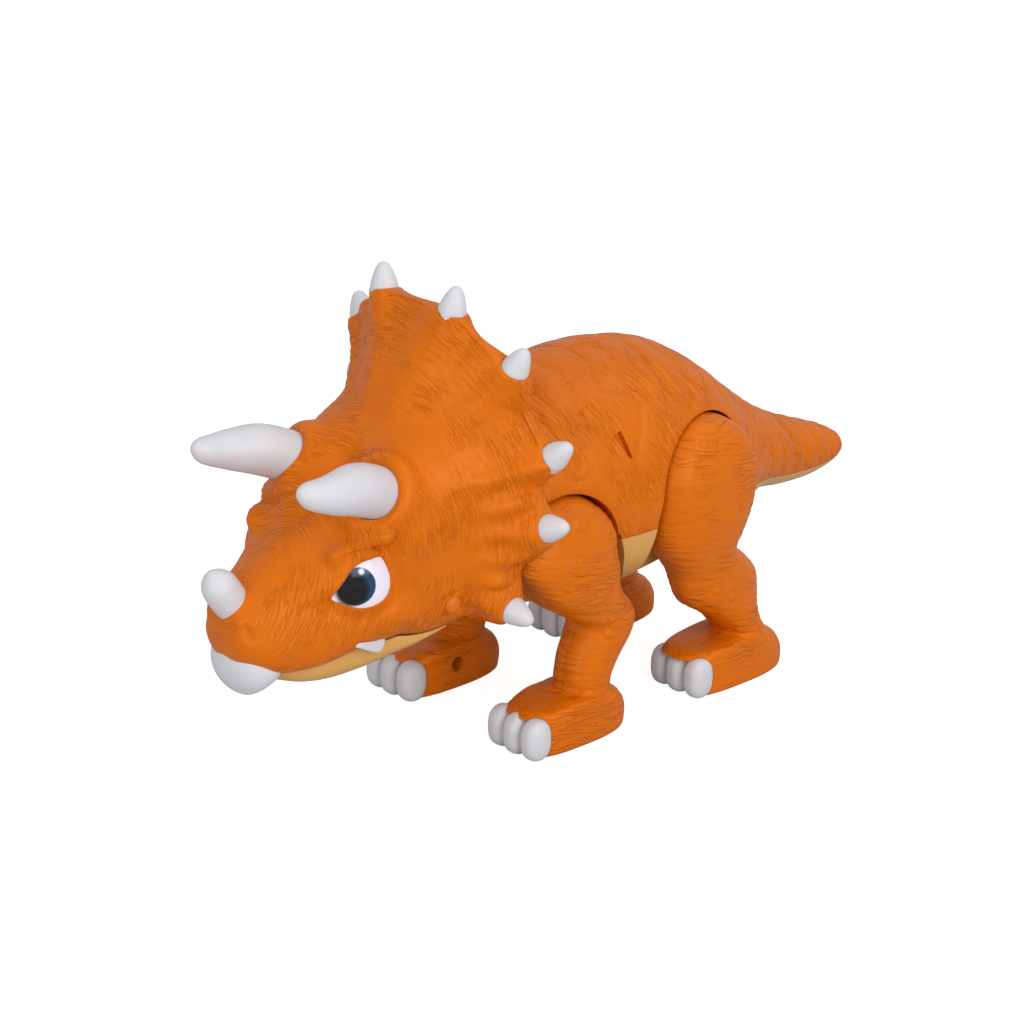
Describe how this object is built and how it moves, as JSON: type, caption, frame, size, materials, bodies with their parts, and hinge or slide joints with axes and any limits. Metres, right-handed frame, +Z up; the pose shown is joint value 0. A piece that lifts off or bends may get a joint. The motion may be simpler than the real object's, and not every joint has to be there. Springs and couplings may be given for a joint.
{
  "type": "toy triceratops",
  "caption": "Walking plastic triceratops toy with hinged jaw, four crank-driven legs, horned frill and a battery door under its cream belly.",
  "frame": {"origin": "on the ground under the middle of the toy's length, soles at Z = 0", "axes": "+Z up; the animal faces -Y; its left side is +X"},
  "size_m": [0.1238, 0.3176, 0.176],
  "materials": {
    "orange_plastic": "satin moulded",
    "cream_plastic": "satin moulded",
    "white_plastic": "satin moulded",
    "eye_plastic": "printed and glossy",
    "black_plastic": "moulded",
    "gear_plastic": "natural acetal",
    "steel": "plain",
    "motor_can": "plain",
    "brass": "cut",
    "cell_label": "plain sleeve",
    "board": "lacquered"
  },
  "bodies": {
    "body": {"body_left_shell": "orange_plastic", "body_right_shell": "orange_plastic", "belly_pan": "cream_plastic", "battery_door": "cream_plastic", "door_screw": "steel", "battery_box": "black_plastic", "batteries": "cell_label", "battery_contacts": "steel", "switch_body": "black_plastic", "body_screws": "steel", "motor": "motor_can", "gear_pins": "steel", "gearbox_left_plate": "black_plastic", "gearbox_right_plate": "black_plastic", "front_axle": "steel", "hind_axle": "steel", "circuit_board": "board", "speaker": "black_plastic", "head_shell": "orange_plastic", "head_back_plate": "black_plastic", "neck_core": "black_plastic", "beak": "white_plastic", "nose_horn": "white_plastic", "brow_horn_left": "white_plastic", "brow_horn_right": "white_plastic", "frill_spikes": "white_plastic", "eye_left": "eye_plastic", "eye_right": "eye_plastic", "teeth": "white_plastic", "jaw_pin": "orange_plastic"},
    "left_hind_leg": {"left_hind_leg_outer": "orange_plastic", "left_hind_leg_inner": "orange_plastic", "left_hind_claws": "white_plastic", "left_hind_lever": "gear_plastic", "left_hind_leg_screws": "steel"},
    "left_front_leg": {"left_front_leg_outer": "orange_plastic", "left_front_leg_inner": "orange_plastic", "left_front_claws": "white_plastic", "left_front_lever": "gear_plastic", "left_front_leg_screws": "steel"},
    "right_hind_leg": {"right_hind_leg_outer": "orange_plastic", "right_hind_leg_inner": "orange_plastic", "right_hind_claws": "white_plastic", "right_hind_lever": "gear_plastic", "right_hind_leg_screws": "steel"},
    "right_front_leg": {"right_front_leg_outer": "orange_plastic", "right_front_leg_inner": "orange_plastic", "right_front_claws": "white_plastic", "right_front_lever": "gear_plastic", "right_front_leg_screws": "steel"},
    "jaw": {"lower_jaw": "cream_plastic"},
    "knob": {"switch_knob": "black_plastic"},
    "crank": {"crank_gear": "gear_plastic", "crank_axle": "steel", "crank_disc_left": "gear_plastic", "crank_disc_right": "gear_plastic"},
    "gear_b": {"reduction_gear_b": "gear_plastic"},
    "gear_a": {"reduction_gear_a": "gear_plastic"},
    "pinion": {"motor_pinion": "brass", "motor_shaft": "steel"}
  },
  "joints": [
    {"name": "left_hind_swing", "type": "hinge", "parent": "body", "child": "left_hind_leg", "pos_m": [0, 0.0443, 0.086], "axis": [1, 0, 0], "range_deg": [-8, 8]},
    {"name": "left_front_swing", "type": "hinge", "parent": "body", "child": "left_front_leg", "pos_m": [0, -0.0282, 0.073], "axis": [1, 0, 0], "range_deg": [-8, 8]},
    {"name": "right_hind_swing", "type": "hinge", "parent": "body", "child": "right_hind_leg", "pos_m": [0, 0.0443, 0.086], "axis": [1, 0, 0], "range_deg": [-8, 8]},
    {"name": "right_front_swing", "type": "hinge", "parent": "body", "child": "right_front_leg", "pos_m": [0, -0.0282, 0.073], "axis": [1, 0, 0], "range_deg": [-8, 8]},
    {"name": "jaw_open", "type": "hinge", "parent": "body", "child": "jaw", "pos_m": [0, -0.0782, 0.068], "axis": [1, 0, 0], "range_deg": [0, 15]},
    {"name": "switch_slide", "type": "slide", "parent": "body", "child": "knob", "axis": [0, 1, 0], "range_m": [0, 0.005]},
    {"name": "crank_spin", "type": "hinge", "parent": "body", "child": "crank", "pos_m": [0, 0.00805, 0.0795], "axis": [1, 0, 0], "continuous": true},
    {"name": "gear_b_spin", "type": "hinge", "parent": "body", "child": "gear_b", "pos_m": [0, 0.0163, 0.09379], "axis": [1, 0, 0], "continuous": true},
    {"name": "gear_a_spin", "type": "hinge", "parent": "body", "child": "gear_a", "pos_m": [0, 0.00982, 0.10597], "axis": [1, 0, 0], "continuous": true},
    {"name": "pinion_spin", "type": "hinge", "parent": "body", "child": "pinion", "pos_m": [0, -0.00168, 0.10597], "axis": [1, 0, 0], "continuous": true}
  ],
  "couplings": [
    {"joint": "left_front_swing", "follows": "left_hind_swing", "ratio": -1},
    {"joint": "right_hind_swing", "follows": "left_hind_swing", "ratio": -1},
    {"joint": "right_front_swing", "follows": "left_hind_swing", "ratio": 1},
    {"joint": "gear_b_spin", "follows": "crank_spin", "ratio": -4},
    {"joint": "gear_a_spin", "follows": "crank_spin", "ratio": 14.4},
    {"joint": "pinion_spin", "follows": "crank_spin", "ratio": -51.84}
  ]
}
